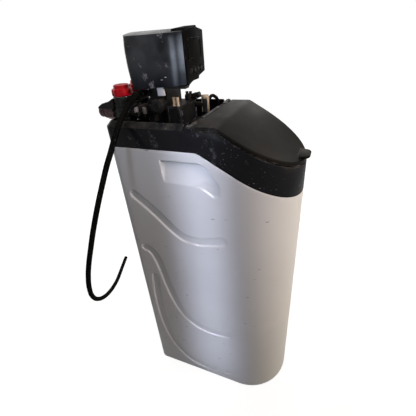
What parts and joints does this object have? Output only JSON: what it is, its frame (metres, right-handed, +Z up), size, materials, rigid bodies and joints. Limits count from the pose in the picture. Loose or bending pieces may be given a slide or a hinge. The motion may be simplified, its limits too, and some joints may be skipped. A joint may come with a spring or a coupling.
{
  "type": "water softener",
  "caption": "Upright cabinet water softener: round-nosed salt cabinet with sloped hinged lid, resin vessel inside, control valve with bypass and drain hose on top.",
  "frame": {"origin": "on the floor, at the centre of the cabinet's footprint between its flat rear and the tip of its nose", "axes": "+Z up; the lid and round nose face -Y, the pipe connections face +Y; +X is to the right for someone facing the nose"},
  "size_m": [0.4852, 0.7936, 1.229],
  "materials": {
    "shell_white": "satin moulded white, scuffed",
    "collar_black": "glossy black moulding",
    "lid_black": "matt black moulding, dusty",
    "valve_black": "glass-filled black plastic",
    "head_black": "glossy black cover",
    "panel_black": "matt black fascia",
    "knob_red": "red moulding",
    "fitting_brown": "brown moulded fitting",
    "clip_tan": "pale brown spring clip",
    "brass": "turned brass",
    "steel": "bright steel",
    "hose_black": "black tube",
    "seal_rubber": "black seal",
    "tank_blue": "wound glass-fibre vessel",
    "resin_amber": "bed of resin beads",
    "plastic_pale": "natural plastic",
    "plug_white": "white plastic",
    "lens_grey": "display window",
    "board_green": "circuit board",
    "button_grey": "grey button"
  },
  "bodies": {
    "cabinet": {"cabinet_shell": "shell_white", "top_collar": "collar_black", "lid_hinge_pins": "steel", "resin_tank": "tank_blue", "tank_boot": "seal_rubber", "riser_tube": "plastic_pale", "bottom_basket": "valve_black", "top_basket": "valve_black", "resin_bed": "resin_amber", "neck_seal": "seal_rubber", "valve_body": "valve_black", "end_plug": "valve_black", "seal_stack": "seal_rubber", "injector_housing": "valve_black", "injector_studs": "brass", "side_cap": "valve_black", "drain_elbow": "valve_black", "hose_nut": "valve_black", "drain_hose": "hose_black", "outlet_meter": "valve_black", "turbine_axle": "steel", "meter_cable": "hose_black", "cable_plug": "plug_white", "inlet_adapter": "valve_black", "joint_clips": "clip_tan", "bypass_body": "valve_black", "union_nuts": "fitting_brown", "tail_pieces": "fitting_brown", "head_tray": "valve_black", "head_cover": "head_black", "front_panel": "panel_black", "display_lens": "lens_grey", "circuit_board": "board_green", "motor_bridge": "steel", "drive_motor": "steel", "power_inlet": "valve_black", "brine_fitting": "brass", "brine_line": "hose_black", "brine_well": "plastic_pale", "well_cap": "valve_black", "brine_valve": "plastic_pale", "pickup_tube": "plastic_pale", "overflow_elbow": "valve_black"},
    "lid": {"salt_lid": "lid_black"},
    "inlet_handle": {"inlet_knob": "knob_red", "inlet_rotor": "plastic_pale"},
    "outlet_handle": {"outlet_knob": "knob_red", "outlet_rotor": "plastic_pale"},
    "gear": {"drive_gear": "plastic_pale"},
    "piston_set": {"piston": "plastic_pale", "piston_rod": "steel"},
    "pinion": {"motor_pinion": "brass"},
    "turbine": {"meter_turbine": "plastic_pale"},
    "float_set": {"float": "plastic_pale", "float_rod": "steel"},
    "key_1": {"button_1": "button_grey"},
    "key_2": {"button_2": "button_grey"},
    "key_3": {"button_3": "button_grey"},
    "key_4": {"button_4": "button_grey"}
  },
  "joints": [
    {"name": "lid_hinge", "type": "hinge", "parent": "cabinet", "child": "lid", "pos_m": [0, 0.007, 1.025], "axis": [-1, 0, 0], "range_deg": [0, 102]},
    {"name": "inlet_knob_turn", "type": "hinge", "parent": "cabinet", "child": "inlet_handle", "pos_m": [0.04, 0.254, 1.08], "axis": [0, 0, 1], "range_deg": [0, 90]},
    {"name": "outlet_knob_turn", "type": "hinge", "parent": "cabinet", "child": "outlet_handle", "pos_m": [-0.04, 0.254, 1.08], "axis": [0, 0, 1], "range_deg": [0, 90]},
    {"name": "drive_gear_turn", "type": "hinge", "parent": "cabinet", "child": "gear", "pos_m": [0, 0.139, 1.109], "axis": [0, 0, 1], "range_deg": [0, 300]},
    {"name": "piston_slide", "type": "slide", "parent": "cabinet", "child": "piston_set", "axis": [0, 0, 1], "range_m": [0, 0.025]},
    {"name": "motor_pinion_spin", "type": "hinge", "parent": "cabinet", "child": "pinion", "pos_m": [0, 0.1, 1.109], "axis": [0, 0, 1], "range_deg": [-1000.5, 0]},
    {"name": "meter_turbine_spin", "type": "hinge", "parent": "cabinet", "child": "turbine", "pos_m": [-0.04, 0.201, 1.036], "axis": [0, 1, 0], "continuous": true},
    {"name": "float_slide", "type": "slide", "parent": "cabinet", "child": "float_set", "axis": [0, 0, 1], "range_m": [0, 0.03]},
    {"name": "button_1_press", "type": "slide", "parent": "cabinet", "child": "key_1", "axis": [0, 1, 0], "range_m": [0, 0.0012], "stiffness_N_per_m": 500},
    {"name": "button_2_press", "type": "slide", "parent": "cabinet", "child": "key_2", "axis": [0, 1, 0], "range_m": [0, 0.0012], "stiffness_N_per_m": 500},
    {"name": "button_3_press", "type": "slide", "parent": "cabinet", "child": "key_3", "axis": [0, 1, 0], "range_m": [0, 0.0012], "stiffness_N_per_m": 500},
    {"name": "button_4_press", "type": "slide", "parent": "cabinet", "child": "key_4", "axis": [0, 1, 0], "range_m": [0, 0.0012], "stiffness_N_per_m": 500}
  ],
  "couplings": [
    {"joint": "drive_gear_turn", "follows": "piston_slide", "rad_per_m": 209.43},
    {"joint": "motor_pinion_spin", "follows": "piston_slide", "rad_per_m": -698.1}
  ]
}
